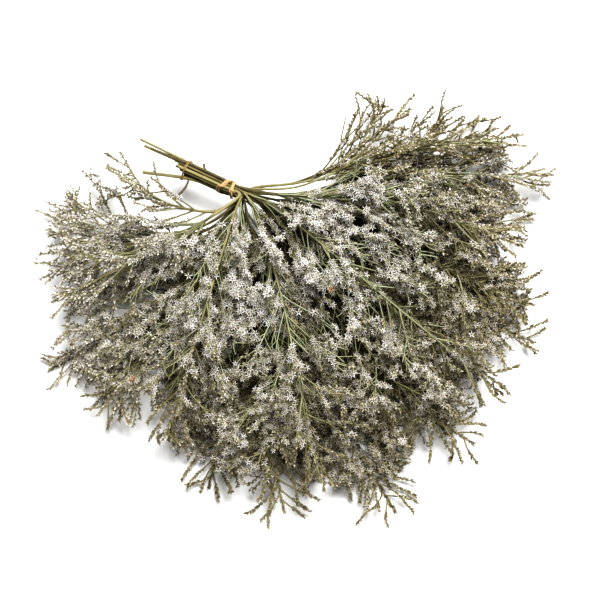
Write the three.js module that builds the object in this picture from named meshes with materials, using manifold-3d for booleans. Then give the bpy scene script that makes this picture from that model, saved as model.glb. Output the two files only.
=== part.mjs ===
// A bunch of dried tatarian statice: cut, branching flower sprays, tied with raffia and laid on their side.
// Millimetres, +Z up. The bunch lies on the plane z = 0, and the origin is at the middle of its footprint.
import * as THREE from "three";
import { mergeVertices } from "three/addons/utils/BufferGeometryUtils.js";
import Module from "manifold-3d";

const wasm = await Module();
wasm.setup();

// The bundle of stems: where the raffia holds it, and which way it points, in degrees from +X
const TIE_HEIGHT = 46;
const BUNDLE_HEADING = -25;
const STEM_RADIUS = 1.3;
const TIP_RADIUS = 0.9;
const STEM_SIDES = 4;
const STEM_PITCH = 3;
const STEM_GAP = 0.35;
const ROW_RISE = (STEM_PITCH * Math.sqrt(3)) / 2;
const HALF_BOUND = 9;
const CUT_END_RISE = 3;
const LAYERS = 3;
const PARTING_ROUNDS = 100;
const PARTING_SHARE = 0.7;

// Heights of each layer's stems: where they lie in the body of the bunch, and at their tips
const LAYER_HEIGHT = [15, 50, 84];
const LAYER_TIP_HEIGHT = [0.5, 30, 56];
const LOWEST_STEM = 0.5;

// The branches of each spray: their size, how they leave the stem, and the room that they keep
const BRANCHES = 7;
const BRANCH_LENGTH = 62;
const BRANCH_LENGTH_RANGE = { least: 0.85, most: 1.15 };
const TIP_BRANCH_SHARE = 0.65;
const BRANCH_RADIUS = 1.1;
const ROOT_RADIUS = 0.6;
const BRANCH_SIDES = 3;
const BRANCH_LEAN = { least: 30, most: 46 };
const TIP_LEAN_SHARE = 0.8;
const BRANCH_CURVE = 0.05;
const BRANCH_ROOM = 9;
const BRANCH_SPREAD = 20;
const LOWEST_BRANCH = 5;
const LAST_BRANCH = 0.88;
const GROWTH_STEP = 10;
const GROWTH_TRIES = 6;
const TURNS_TRIED = 6;
const GOLDEN_ANGLE = 2.39996;
const TIP_SINK = 5;

// Their florets: a bare foot, then rows of pointed ones all round, and an open star at the end.
// Their lengths are counted in steps from row to row.
const BARE_FOOT = 0.38;
const FLORET_ROWS = 3;
const LONGEST_ROW_STEP = 13;
const LOWEST_FLORET = 1.6;
const HIGHEST_FLORET = 0.9;
const FLORET_LEAN = 1.3;
const STAR_WIDTH = 16;
const STAR_LOBES = 5;
const STAR_NECK = 2.5;
const STAR_LEAN = 0.2;

// The clearance between sprays, how far florets would press into the surface that the bunch lies
// on, and a block of that surface
const SPRAY_GAP = 1;
const SURFACE_BITE = 1.2;
const SURFACE_WIDTH = 1000;
const SURFACE_DEPTH = 100;

// The raffia: the two turns of the tie, and a narrower wrap nearer the cut ends.
// Each has its place along the bundle, how far it slants, its width and its lift off the stems.
const STRAND_THICKNESS = 1.1;
const TIE_TURNS = [
  { centre: -8, slant: 5.5, width: 3.8, lift: 0 },
  { centre: 0, slant: -1.5, width: 3.2, lift: 0.4 },
];
const WRAP_TURN = { centre: -49, slant: 0.6, width: 2.2, lift: 0.3 };
const KNOT_RADIUS = 2.4;
const KNOT_SHAPE = [1.2, 1, 0.8];
const KNOT_ANGLE = 140;
const STRAND_FACES = { section: 4, round: 18 };

// Every spray: the length of its cut end behind the tie, how far that end splays sideways, the
// share of the rest that is bare, and the plan points, from the tie, that its stem passes.
// They are in the order of the fan, and their layers follow each other in turn.
const SPRAYS = [
  { stub: 60, splay: 4, bare: 0.36, route: [[62, 1], [112, 20], [160, 42], [206, 60], [258, 80]] },
  { stub: 54, splay: 1, bare: 0.4, route: [[30, 3], [76, 9], [118, 38], [144, 66], [172, 88]] },
  { stub: 102, splay: 2, bare: 0.32, route: [[62, -3], [119, 14], [176, 30], [233, 42], [280, 52]] },
  { stub: 50, splay: 0, bare: 0.32, route: [[72, -10], [138, -4], [204, -10], [284, -26]] },
  { stub: 96, splay: 0, bare: 0.3, route: [[70, -7], [128, 6], [186, 16], [250, 18], [308, 12]] },
  { stub: 88, splay: -2, bare: 0.26, route: [[68, -16], [135, -22], [200, -36], [268, -58]] },
  { stub: 56, splay: 0, bare: 0.2, route: [[55, -26], [109, -56], [190, -98], [290, -140]] },
  { stub: 48, splay: -1, bare: 0.2, route: [[60, -22], [119, -42], [195, -74], [288, -112]] },
  { stub: 62, splay: 0, bare: 0.16, route: [[45, -27], [95, -75], [157, -130], [212, -172], [256, -200]] },
  { stub: 52, splay: 0, bare: 0.12, route: [[30, -30], [66, -110], [98, -195], [122, -250], [154, -306]] },
  { stub: 58, splay: -1, bare: 0.14, route: [[38, -27], [81, -92], [128, -160], [176, -212], [228, -248]] },
  { stub: 50, splay: 0, bare: 0.12, route: [[22, -30], [45, -110], [62, -190], [72, -245], [84, -288]] },
  { stub: 54, splay: -1, bare: 0.1, route: [[8, -32], [6, -110], [-4, -190], [-12, -240], [-22, -284]] },
  { stub: 60, splay: 0, bare: 0.1, route: [[15, -30], [30, -115], [35, -205], [40, -265], [50, -314]] },
  { stub: 46, splay: 0, bare: 0.12, route: [[3, -28], [-14, -95], [-32, -160], [-48, -210], [-62, -250]] },
  { stub: 52, splay: -1, bare: 0.14, route: [[-5, -26], [-38, -68], [-86, -112], [-134, -146], [-176, -168]] },
  { stub: 48, splay: 0, bare: 0.12, route: [[0, -28], [-28, -84], [-66, -144], [-100, -188], [-126, -220]] },
  { stub: 56, splay: -1, bare: 0.22, route: [[-8, -25], [-50, -60], [-95, -84], [-136, -102], [-170, -112]] },
  { stub: 50, splay: 0, bare: 0.24, route: [[-21, -34], [-62, -38], [-105, -30], [-145, -26], [-180, -32]] },
  { stub: 86, splay: -17, bare: 0.24, route: [[-17, -31], [-58, -50], [-106, -60], [-150, -70], [-184, -86]] },
  { stub: 54, splay: 0, bare: 0.3, route: [[-17, -28], [-56, -28], [-80, -14], [-96, 10], [-108, 34]] },
];

// Cut side shoots on the bare ends: the spray, the share of its cut end, and how the shoot runs on
// from there, counted along the bundle, across it and up
const SNAGS = [
  { spray: 2, share: 0.76, radius: 1.5, run: [[-3, 3, 1], [-4, 5, 2]] },
  { spray: 19, share: 0.57, radius: 1.3, run: [[0, -9, -3], [-5, -22, -9]] },
];

// A repeatable stream of numbers from 0 to 1
function drawsFrom(seed) {
  let state = seed >>> 0;
  return () => {
    state = (state + 0x6d2b79f5) >>> 0;
    let t = state;
    t = Math.imul(t ^ (t >>> 15), t | 1);
    t ^= t + Math.imul(t ^ (t >>> 7), t | 61);
    return ((t ^ (t >>> 14)) >>> 0) / 4294967296;
  };
}

const smooth = (t) => t * t * (3 - 2 * t);
const mix = (a, b, t) => a + (b - a) * t;
const radians = THREE.MathUtils.degToRad;
const clamp = THREE.MathUtils.clamp;

const along = new THREE.Vector3(Math.cos(radians(BUNDLE_HEADING)), Math.sin(radians(BUNDLE_HEADING)), 0);
const across = new THREE.Vector3(-along.y, along.x, 0);
const up = new THREE.Vector3(0, 0, 1);
const tie = new THREE.Vector3(0, 0, TIE_HEIGHT);

// Where a spray's stem sits in the bundle. Its rows are staggered, two to a layer, and each keeps
// the order of the fan from side to side.
function seatInBundle(index) {
  const layer = index % LAYERS;
  const place = Math.floor(index / LAYERS);
  const row = 2 * layer + (place % 2);
  const middlePlace = (SPRAYS.length / LAYERS - 1) / 2;
  const side = ((middlePlace - place) * STEM_PITCH) / 2;
  const rise = (row - (2 * LAYERS - 1) / 2) * ROW_RISE;
  return { layer, side, rise };
}

// A stem's line from its cut end through the tie to its tip
function stemLine(spray, index) {
  const { layer, side, rise } = seatInBundle(index);
  const at = (distance, splay, lift) =>
    tie
      .clone()
      .addScaledVector(along, distance)
      .addScaledVector(across, side + splay)
      .addScaledVector(up, rise + lift);
  const points = [
    at(-spray.stub, spray.splay, CUT_END_RISE),
    at(-spray.stub / 2, spray.splay * 0.2, CUT_END_RISE / 3),
    at(-HALF_BOUND, 0, 0),
    at(HALF_BOUND, 0, 0),
  ];
  spray.route.forEach(([x, y], i) => {
    const share = (i + 1) / spray.route.length;
    const settled = mix(TIE_HEIGHT + rise, LAYER_HEIGHT[layer], smooth(Math.min(1, share * 2)));
    const height = mix(settled, LAYER_TIP_HEIGHT[layer], smooth(Math.max(0, share * 2 - 1)));
    points.push(new THREE.Vector3(x, y, height));
  });
  const curve = new THREE.CatmullRomCurve3(points, false, "catmullrom", 0.5);
  const line = points.slice(0, 4);
  const last = points.length - 1;
  for (let i = 3; i < last; i++) {
    line.push(curve.getPoint((i + 0.5) / last));
    line.push(points[i + 1].clone());
  }
  line.forEach((p) => p.setZ(Math.max(p.z, LOWEST_STEM)));
  return line;
}

// The vector from the nearest point of a segment to p
function fromSegment(p, a, b) {
  const edge = b.clone().sub(a);
  const t = clamp(p.clone().sub(a).dot(edge) / edge.lengthSq(), 0, 1);
  return p.clone().sub(a).addScaledVector(edge, -t);
}

// The vector from the nearest point of a line to p
function fromLine(p, line) {
  let best = null;
  for (let i = 0; i + 1 < line.length; i++) {
    const away = fromSegment(p, line[i], line[i + 1]);
    if (!best || away.lengthSq() < best.lengthSq()) best = away;
  }
  return best;
}

// Where segment ab comes nearest to segment cd: the share of the way along each, and the vector
// between them there
function nearestApproach(a, b, c, d) {
  const u = b.clone().sub(a);
  const v = d.clone().sub(c);
  const w = a.clone().sub(c);
  const [uu, uv, vv, uw, vw] = [u.dot(u), u.dot(v), v.dot(v), u.dot(w), v.dot(w)];
  const first = clamp((uv * vw - vv * uw) / Math.max(uu * vv - uv * uv, 1e-9), 0, 1);
  const t = clamp((uv * first + vw) / vv, 0, 1);
  const s = clamp((uv * t - uw) / uu, 0, 1);
  return { s, t, away: w.addScaledVector(u, s).addScaledVector(v, -t) };
}

// Bends two stems apart wherever they would touch, and says whether they had to move
function partPair(one, other, nearest) {
  let moved = false;
  for (let i = 0; i + 1 < one.length; i++) {
    for (let j = 0; j + 1 < other.length; j++) {
      const { s, t, away } = nearestApproach(one[i], one[i + 1], other[j], other[j + 1]);
      const short = nearest - away.length();
      if (short <= 0) continue;
      moved = true;
      away.setLength(short * PARTING_SHARE);
      one[i].addScaledVector(away, 1 - s);
      one[i + 1].addScaledVector(away, s);
      other[j].addScaledVector(away, t - 1);
      other[j + 1].addScaledVector(away, -t);
    }
  }
  return moved;
}

function partStems(lines) {
  let moved = true;
  for (let round = 0; round < PARTING_ROUNDS && moved; round++) {
    moved = false;
    lines.forEach((line, a) => {
      lines.slice(a + 1).forEach((other) => {
        moved = partPair(line, other, 2 * STEM_RADIUS + STEM_GAP) || moved;
      });
    });
  }
  return lines;
}

const stems = partStems(SPRAYS.map(stemLine));

// How much nearer a point is to its own spray's stem than to any other, and the way from the
// nearest other stem
function roomAt(p, own) {
  const ownDistance = fromLine(p, stems[own]).length();
  let nearest = null;
  stems.forEach((line, i) => {
    if (i === own) return;
    const away = fromLine(p, line);
    if (!nearest || away.lengthSq() < nearest.lengthSq()) nearest = away;
  });
  return { room: nearest.length() - ownDistance, away: nearest.normalize() };
}

// The point and direction a share of the way along a line
function pointAlong(line, share) {
  const lengths = line.slice(1).map((p, i) => p.distanceTo(line[i]));
  let left = share * lengths.reduce((sum, l) => sum + l, 0);
  let i = 0;
  while (i < lengths.length - 1 && left > lengths[i]) left -= lengths[i++];
  const tangent = line[i + 1].clone().sub(line[i]).normalize();
  return { point: line[i].clone().addScaledVector(tangent, left), tangent };
}

// Points at even distances along a line, from a share of its length to its end
function evenly(line, count, from = 0) {
  return Array.from({ length: count }, (_, k) => pointAlong(line, mix(from, 1, k / (count - 1))).point);
}

// A direction of travel at each point of a line, with two square to it that don't twist: level, and upwards
function framesAlong(line) {
  const frames = [];
  line.forEach((_, k) => {
    const tangent = line[Math.min(k + 1, line.length - 1)].clone().sub(line[Math.max(k - 1, 0)]).normalize();
    const level = k ? frames[k - 1].level.clone() : new THREE.Vector3().crossVectors(tangent, up);
    level.addScaledVector(tangent, -level.dot(tangent)).normalize();
    frames.push({ tangent, level, rise: new THREE.Vector3().crossVectors(level, tangent) });
  });
  return frames;
}

// A side shoot's first direction: leaning from its parent by an angle, and turned round it
function shootHeading(tangent, turn, lean) {
  const level = new THREE.Vector3().crossVectors(tangent, up).normalize();
  const rise = new THREE.Vector3().crossVectors(level, tangent);
  return tangent
    .clone()
    .multiplyScalar(Math.cos(lean))
    .addScaledVector(level, Math.sin(lean) * Math.cos(turn))
    .addScaledVector(rise, Math.sin(lean) * Math.sin(turn))
    .normalize();
}

// Grows a branch step by step. It bends clear of the other sprays and of the surface, or stops short of them.
function grow(start, heading, length, curve, own) {
  const points = [start.clone()];
  const direction = heading.clone();
  const steps = Math.round(length / GROWTH_STEP);
  for (let i = 0; i < steps; i++) {
    direction.add(curve).normalize();
    let next = null;
    for (let tries = 0; tries < GROWTH_TRIES && !next; tries++) {
      const ahead = points[i].clone().addScaledVector(direction, length / steps);
      const { room, away } = roomAt(ahead, own);
      const isLow = ahead.z < LOWEST_BRANCH;
      if (room > BRANCH_ROOM && !isLow) next = ahead;
      if (isLow) direction.z = Math.abs(direction.z) * 0.5 + 0.1;
      else if (!next) direction.addScaledVector(away, 0.5);
      direction.normalize();
    }
    if (!next) break;
    points.push(next);
  }
  return points;
}

// How near a branch's outer part comes to the lines it shouldn't meet
function clearance(branch, others) {
  const outer = branch.slice(Math.ceil(branch.length * 0.4));
  return Math.min(...others.flatMap((line) => outer.map((p) => fromLine(p, line).length())));
}

// A spray's branches: evenly along its stem, each on the side where it finds the most room, and one
// that carries on from the end of the stem
function branchesOf(own) {
  const fan = stems[own].slice(3);
  const draw = drawsFrom(own + 1);
  const branches = [];
  for (let m = 0; m < BRANCHES; m++) {
    const share = mix(SPRAYS[own].bare, LAST_BRANCH, (m + 0.5 * draw()) / (BRANCHES - 0.5));
    const { point, tangent } = pointAlong(fan, share);
    const lean = radians(mix(BRANCH_LEAN.least, BRANCH_LEAN.most, draw())) * mix(1, TIP_LEAN_SHARE, share);
    const drawnLength = BRANCH_LENGTH * mix(BRANCH_LENGTH_RANGE.least, BRANCH_LENGTH_RANGE.most, draw());
    const length = drawnLength * mix(1, TIP_BRANCH_SHARE, share);
    const curve = tangent.clone().multiplyScalar(BRANCH_CURVE);
    const first = GOLDEN_ANGLE * m + own;
    let best = { score: 0 };
    for (let turn = 0; turn < TURNS_TRIED; turn++) {
      const heading = shootHeading(tangent, first + (turn * 2 * Math.PI) / TURNS_TRIED, lean);
      const line = grow(point, heading, length, curve, own);
      const apart = Math.min(clearance(line, [fan, ...branches]), BRANCH_SPREAD);
      const score = apart * line.length;
      if (line.length > 3 && score > best.score) best = { score, line };
    }
    if (best.line) branches.push(best.line);
  }
  const [before, foot, ...rest] = fan.slice(-4);
  const root = foot.clone().add(before.clone().sub(foot).setLength(TIP_SINK));
  return [...branches, evenly([root, foot, ...rest], 5)];
}

// The point a length away in a direction, or as far as the spray's own room and the surface let it go
function within(from, direction, length, own) {
  const point = from.clone().addScaledVector(direction, length);
  const fits = roomAt(point, own).room > 2 * SPRAY_GAP && point.z > -SURFACE_BITE;
  return fits || length < SPRAY_GAP ? point : within(from, direction, length * 0.8, own);
}

// A closed geometry as a solid
function solidFrom(geometry) {
  const bare = new THREE.BufferGeometry().setAttribute("position", geometry.getAttribute("position"));
  const merged = mergeVertices(bare.setIndex(geometry.index), 1e-4);
  const triVerts = [];
  for (let i = 0; i < merged.index.count; i += 3) {
    const [a, b, c] = [0, 1, 2].map((k) => merged.index.getX(i + k));
    if (a !== b && b !== c && c !== a) triVerts.push(a, b, c);
  }
  const vertProperties = merged.attributes.position.array;
  const mesh = new wasm.Mesh({ numProp: 3, vertProperties, triVerts: new Uint32Array(triVerts) });
  return new wasm.Manifold(mesh);
}

// A cylinder bent along a line, with a radius at each of its points
function sweep(line, radii, sides) {
  const rings = line.length - 1;
  const frames = framesAlong(line);
  const geometry = new THREE.CylinderGeometry(1, 1, rings, sides, rings);
  const position = geometry.attributes.position;
  for (let i = 0; i < position.count; i++) {
    const k = Math.round(position.getY(i) + rings / 2);
    const p = line[k]
      .clone()
      .addScaledVector(frames[k].level, position.getX(i) * radii[k])
      .addScaledVector(frames[k].rise, position.getZ(i) * radii[k]);
    position.setXYZ(i, p.x, p.y, p.z);
  }
  return geometry;
}

// A cylinder's geometry with side faces drawn out to points. pointOver gives the point for the
// face at a segment, a side and a half of that side, or nothing where the face stays flat.
function drawnOut(geometry, pointOver) {
  const { heightSegments, radialSegments } = geometry.parameters;
  const bare = new THREE.BufferGeometry().setAttribute("position", geometry.getAttribute("position"));
  const corners = bare.setIndex(geometry.index).toNonIndexed().attributes.position;
  const triangles = [];
  for (let f = 0; f < corners.count / 3; f++) {
    const face = [0, 1, 2].map((c) => new THREE.Vector3().fromBufferAttribute(corners, 3 * f + c));
    const isSide = f < 2 * heightSegments * radialSegments;
    const segment = heightSegments - 1 - (Math.floor(f / 2) % heightSegments);
    const point = isSide ? pointOver(segment, Math.floor(f / (2 * heightSegments)), f % 2) : null;
    if (!point) triangles.push(...face);
    else face.forEach((p, c) => triangles.push(p, face[(c + 1) % 3], point));
  }
  return new THREE.BufferGeometry().setFromPoints(triangles);
}

// A flowering branch. Each row of its florets leaves out every third place, in turn.
function branchSolid(line, own) {
  const points = [line[0], ...evenly(line, FLORET_ROWS + 1, BARE_FOOT)];
  const star = points.length - 1;
  points.push(points[star].clone().addScaledVector(framesAlong(points)[star].tangent, STAR_NECK));
  const frames = framesAlong(points);
  const rowStep = Math.min(points[1].distanceTo(points[2]), LONGEST_ROW_STEP);
  const outward = (k, turn, forward) =>
    frames[k].level
      .clone()
      .multiplyScalar(Math.sin(turn))
      .addScaledVector(frames[k].rise, Math.cos(turn))
      .addScaledVector(frames[k].tangent, forward)
      .normalize();
  const pointOver = (segment, side, half) => {
    const place = 2 * side + half;
    if (segment === star) {
      const lobe = outward(star, (2 * Math.PI * (place + 0.5)) / STAR_LOBES, STAR_LEAN);
      return place < STAR_LOBES ? within(points[star + 1], lobe, STAR_WIDTH / 2, own) : null;
    }
    if (segment === 0 || (place + segment) % 3 === 0) return null;
    const length = rowStep * mix(LOWEST_FLORET, HIGHEST_FLORET, (segment - 1) / (FLORET_ROWS - 1));
    const direction = outward(segment, (Math.PI * (place + 0.5)) / BRANCH_SIDES, FLORET_LEAN);
    return within(points[segment], direction, length, own);
  };
  const radii = points.map((_, k) => (k ? BRANCH_RADIUS : ROOT_RADIUS));
  return solidFrom(drawnOut(sweep(points, radii, BRANCH_SIDES), pointOver));
}

// The one body of a union, without sealed hollows or loose scraps
function wholeBody(solid) {
  return solid.decompose().sort((a, b) => b.volume() - a.volume())[0];
}

function meshOf(name, solid, material) {
  const made = solid.getMesh();
  const geometry = new THREE.BufferGeometry();
  geometry.setAttribute("position", new THREE.BufferAttribute(new Float32Array(made.vertProperties), 3));
  geometry.setIndex(new THREE.BufferAttribute(new Uint32Array(made.triVerts), 1));
  geometry.computeVertexNormals();
  const mesh = new THREE.Mesh(geometry, material);
  mesh.name = name;
  return mesh;
}

const surface = new THREE.BoxGeometry(SURFACE_WIDTH, SURFACE_WIDTH, SURFACE_DEPTH);
const belowSurface = solidFrom(surface.translate(0, 0, -SURFACE_DEPTH / 2));

// The cut side shoots of a spray
function snagSolids(own) {
  return SNAGS.filter(({ spray }) => spray === own).map(({ share, radius, run }) => {
    const root = pointAlong(stems[own].slice(0, 3), share).point;
    const bends = run.map(([x, y, z]) =>
      root.clone().addScaledVector(along, x).addScaledVector(across, y).addScaledVector(up, z),
    );
    return solidFrom(sweep([root, ...bends], [ROOT_RADIUS, radius, radius], STEM_SIDES));
  });
}

// A whole spray: its stem, branches and cut side shoots as one body. Where it would sink into the
// surface it is level with it.
function sprayMesh(own) {
  const line = stems[own].slice(0, -2);
  const fanStart = 4;
  const radii = line.map((_, k) => {
    const share = Math.max(0, (k - fanStart) / (line.length - 1 - fanStart));
    return mix(STEM_RADIUS, TIP_RADIUS, smooth(share));
  });
  const branches = branchesOf(own).map((branch) => branchSolid(branch, own));
  const solids = [solidFrom(sweep(line, radii, STEM_SIDES)), ...branches, ...snagSolids(own)];
  const body = wholeBody(wasm.Manifold.union(solids).subtract(belowSurface));
  const material = new THREE.MeshStandardMaterial({ color: 0x9a9a7c, roughness: 0.85, metalness: 0 });
  return meshOf("spray_" + String(own + 1).padStart(2, "0"), body, material);
}

// Where the stems that are still there cross the bundle at a distance along it
function crossings(distance) {
  const before = (p) => p.clone().sub(tie).dot(along) < distance;
  return stems
    .filter((line) => before(line[0]) && !before(line[3]))
    .map((line) => {
      const k = line.findIndex((p) => !before(p));
      const reach = (p) => p.clone().sub(tie).dot(along);
      const share = (distance - reach(line[k - 1])) / (reach(line[k]) - reach(line[k - 1]));
      return line[k - 1].clone().lerp(line[k], share);
    });
}

// A point of a strand drawn tight round the stems: at a distance along the bundle, an angle round
// it and a lift off it
function onStrand(distance, angle, lift) {
  const toward = across.clone().multiplyScalar(Math.cos(angle)).addScaledVector(up, Math.sin(angle));
  const outermost = crossings(distance).reduce((best, p) => (p.dot(toward) > best.dot(toward) ? p : best));
  return outermost.clone().addScaledVector(toward, STEM_RADIUS + STEM_GAP + STRAND_THICKNESS / 2 + lift);
}

// One turn of raffia round the bundle. Its strand slants: it lies further along where across is highest.
function raffiaTurn({ centre, slant, width, lift }) {
  const geometry = new THREE.TorusGeometry(1, 0.5, STRAND_FACES.section, STRAND_FACES.round);
  const position = geometry.attributes.position;
  for (let i = 0; i < position.count; i++) {
    const angle = Math.atan2(position.getY(i), position.getX(i));
    const distance = centre + Math.cos(angle) * slant + position.getZ(i) * width;
    const outward = (Math.hypot(position.getX(i), position.getY(i)) - 1) * STRAND_THICKNESS;
    const p = onStrand(distance, angle, lift + outward);
    position.setXYZ(i, p.x, p.y, p.z);
  }
  return solidFrom(geometry);
}

// The knot of the tie, on the strand at the bundle's near side
function raffiaKnot({ centre, slant }) {
  const angle = radians(KNOT_ANGLE);
  const place = onStrand(centre + Math.cos(angle) * slant, angle, KNOT_RADIUS * 0.4);
  const geometry = new THREE.IcosahedronGeometry(KNOT_RADIUS, 0).scale(...KNOT_SHAPE);
  return solidFrom(geometry.translate(place.x, place.y, place.z));
}

function raffiaMesh(name, turns, knots) {
  const solids = [...turns.map(raffiaTurn), ...knots.map(raffiaKnot)];
  const material = new THREE.MeshStandardMaterial({ color: 0xc9a878, roughness: 0.8, metalness: 0 });
  return meshOf(name, wholeBody(wasm.Manifold.union(solids)), material);
}

const bunch = new THREE.Group();
SPRAYS.forEach((_, own) => bunch.add(sprayMesh(own)));
bunch.add(raffiaMesh("raffia_tie", TIE_TURNS, [TIE_TURNS[1]]));
bunch.add(raffiaMesh("raffia_wrap", [WRAP_TURN], []));

const box = new THREE.Box3().setFromObject(bunch);
const middle = box.getCenter(new THREE.Vector3());
bunch.position.set(-middle.x, -middle.y, -box.min.z);

export default bunch;
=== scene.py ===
"""A bunch of dried tatarian statice, dressed over its frame.

It has ribbed stems and branching twigs, papery star florets, closed buds and fibrous raffia.
Lengths are in millimetres until a mesh is made. The stems and branches follow the frame's own rule.
"""
import math
from collections import namedtuple

import bpy
import numpy as np
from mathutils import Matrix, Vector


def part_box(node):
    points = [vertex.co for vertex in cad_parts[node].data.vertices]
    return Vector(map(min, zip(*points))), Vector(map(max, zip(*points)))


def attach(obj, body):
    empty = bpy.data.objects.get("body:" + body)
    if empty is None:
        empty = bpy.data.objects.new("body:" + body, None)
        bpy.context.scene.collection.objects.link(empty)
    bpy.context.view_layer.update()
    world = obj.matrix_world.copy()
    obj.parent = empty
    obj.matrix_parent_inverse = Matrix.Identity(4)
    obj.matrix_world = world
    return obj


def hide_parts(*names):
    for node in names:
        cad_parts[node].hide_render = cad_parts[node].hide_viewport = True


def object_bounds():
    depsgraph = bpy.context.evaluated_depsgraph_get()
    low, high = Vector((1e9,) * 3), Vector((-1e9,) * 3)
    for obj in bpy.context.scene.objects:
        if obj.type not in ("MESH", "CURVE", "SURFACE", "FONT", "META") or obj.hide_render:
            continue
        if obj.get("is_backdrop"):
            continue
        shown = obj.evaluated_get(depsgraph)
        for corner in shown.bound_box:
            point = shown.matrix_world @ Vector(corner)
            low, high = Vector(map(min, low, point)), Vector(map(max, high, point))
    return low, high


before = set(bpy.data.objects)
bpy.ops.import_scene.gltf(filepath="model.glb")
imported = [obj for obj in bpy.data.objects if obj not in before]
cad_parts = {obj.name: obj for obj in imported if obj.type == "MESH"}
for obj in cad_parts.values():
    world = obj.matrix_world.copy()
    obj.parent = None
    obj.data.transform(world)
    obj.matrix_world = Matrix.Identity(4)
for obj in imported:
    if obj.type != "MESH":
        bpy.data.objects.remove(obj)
cad_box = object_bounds()

MM = 0.001

# What keeps a division from zero, and a line that runs straight up from having no sideways
LEAST_DIVISOR = 1e-9
NUDGE = 1e-6

# The bundle of stems: where the raffia holds it, and which way it points
TIE = np.array([0.0, 0.0, 46.0])
BUNDLE_HEADING = math.radians(-25)
ALONG = np.array([math.cos(BUNDLE_HEADING), math.sin(BUNDLE_HEADING), 0.0])
ACROSS = np.array([-ALONG[1], ALONG[0], 0.0])
UP = np.array([0.0, 0.0, 1.0])
STEM_RADIUS = 1.3
STEM_PITCH = 3.0
STEM_GAP = 0.35
ROW_RISE = STEM_PITCH * math.sqrt(3) / 2
HALF_BOUND = 9.0

# The cut ends: how high they rise, the shares of their splay and rise that they have halfway, and
# the line behind the tie that they keep to
CUT_END_RISE = 3.0
HALFWAY_SPLAY = 0.2
HALFWAY_RISE = 1 / 3
CUT_ENDS = np.array([TIE - ALONG * behind for behind in (105, 24)])

# The layers of stems, with their heights in the body of the bunch and at their tips, and the
# point of each stem's line where the bundle ends and the fan begins
LAYERS = 3
LAYER_HEIGHT = [15, 50, 84]
LAYER_TIP_HEIGHT = [0.5, 30, 56]
LOWEST_STEM = 0.5
FAN_START = 3

# How stems that would touch are bent apart
PARTING_ROUNDS = 100
PARTING_SHARE = 0.7
PARTING_REACH = 4.0

# The main branches of each spray, which are those of the frame
BRANCHES = 7
BRANCH_LENGTH = 62
BRANCH_LENGTH_RANGE = (0.85, 1.15)
TIP_BRANCH_SHARE = 0.65
BRANCH_JITTER = 0.5
BRANCH_LEAN = (30, 46)
TIP_LEAN_SHARE = 0.8
BRANCH_CURVE = 0.05
BRANCH_ROOM = 9
BRANCH_SPREAD = 20
BRANCH_ROOT_SHARE = 0.4
SHORTEST_BRANCH = 3
LOWEST_BRANCH = 5
LAST_BRANCH = 0.88
GROWTH_STEP = 10
GROWTH_TRIES = 6
TURNS_TRIED = 6
GOLDEN_ANGLE = 2.39996

# How a direction is turned: away from another spray, and up from the surface
TURN_AWAY = 0.5
KEPT_RISE = 0.5
LEAST_RISE = 0.1

# Every spray, in the order of the fan: the length of its cut end behind the tie, how far that end
# splays sideways, the share of the rest that is bare, how much of it is in flower, how straight and
# open it is, and the plan points, from the tie, that its stem passes
Spray = namedtuple("Spray", "stub splay bare bloom airy route")
SPRAYS = [
    Spray(60, 4, 0.36, 0.1, 0.9, [(62, 1), (112, 20), (160, 42), (206, 60), (258, 80)]),
    Spray(54, 1, 0.4, 0.2, 0.8, [(30, 3), (76, 9), (118, 38), (144, 66), (172, 88)]),
    Spray(102, 2, 0.32, 0.12, 0.9, [(62, -3), (119, 14), (176, 30), (233, 42), (280, 52)]),
    Spray(50, 0, 0.32, 0.7, 0.3, [(72, -10), (138, -4), (204, -10), (284, -26)]),
    Spray(96, 0, 0.3, 0.6, 0.5, [(70, -7), (128, 6), (186, 16), (250, 18), (308, 12)]),
    Spray(88, -2, 0.26, 0.8, 0.2, [(68, -16), (135, -22), (200, -36), (268, -58)]),
    Spray(56, 0, 0.2, 0.85, 0.1, [(55, -26), (109, -56), (190, -98), (290, -140)]),
    Spray(48, -1, 0.2, 0.85, 0, [(60, -22), (119, -42), (195, -74), (288, -112)]),
    Spray(62, 0, 0.16, 0.85, 0, [(45, -27), (95, -75), (157, -130), (212, -172), (256, -200)]),
    Spray(52, 0, 0.12, 0.9, 0, [(30, -30), (66, -110), (98, -195), (122, -250), (154, -306)]),
    Spray(58, -1, 0.14, 0.9, 0, [(38, -27), (81, -92), (128, -160), (176, -212), (228, -248)]),
    Spray(50, 0, 0.12, 0.9, 0, [(22, -30), (45, -110), (62, -190), (72, -245), (84, -288)]),
    Spray(54, -1, 0.1, 0.9, 0, [(8, -32), (6, -110), (-4, -190), (-12, -240), (-22, -284)]),
    Spray(60, 0, 0.1, 0.9, 0, [(15, -30), (30, -115), (35, -205), (40, -265), (50, -314)]),
    Spray(46, 0, 0.12, 0.9, 0.1, [(3, -28), (-14, -95), (-32, -160), (-48, -210), (-62, -250)]),
    Spray(52, -1, 0.14, 0.75, 0.4, [(-5, -26), (-38, -68), (-86, -112), (-134, -146), (-176, -168)]),
    Spray(48, 0, 0.12, 0.8, 0.3, [(0, -28), (-28, -84), (-66, -144), (-100, -188), (-126, -220)]),
    Spray(56, -1, 0.22, 0.6, 0.6, [(-8, -25), (-50, -60), (-95, -84), (-136, -102), (-170, -112)]),
    Spray(50, 0, 0.24, 0.5, 0.7, [(-21, -34), (-62, -38), (-105, -30), (-145, -26), (-180, -32)]),
    Spray(86, -17, 0.24, 0.5, 0.8, [(-17, -31), (-58, -50), (-106, -60), (-150, -70), (-184, -86)]),
    Spray(54, 0, 0.3, 0.3, 0.9, [(-17, -28), (-56, -28), (-80, -14), (-96, 10), (-108, 34)]),
]

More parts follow.
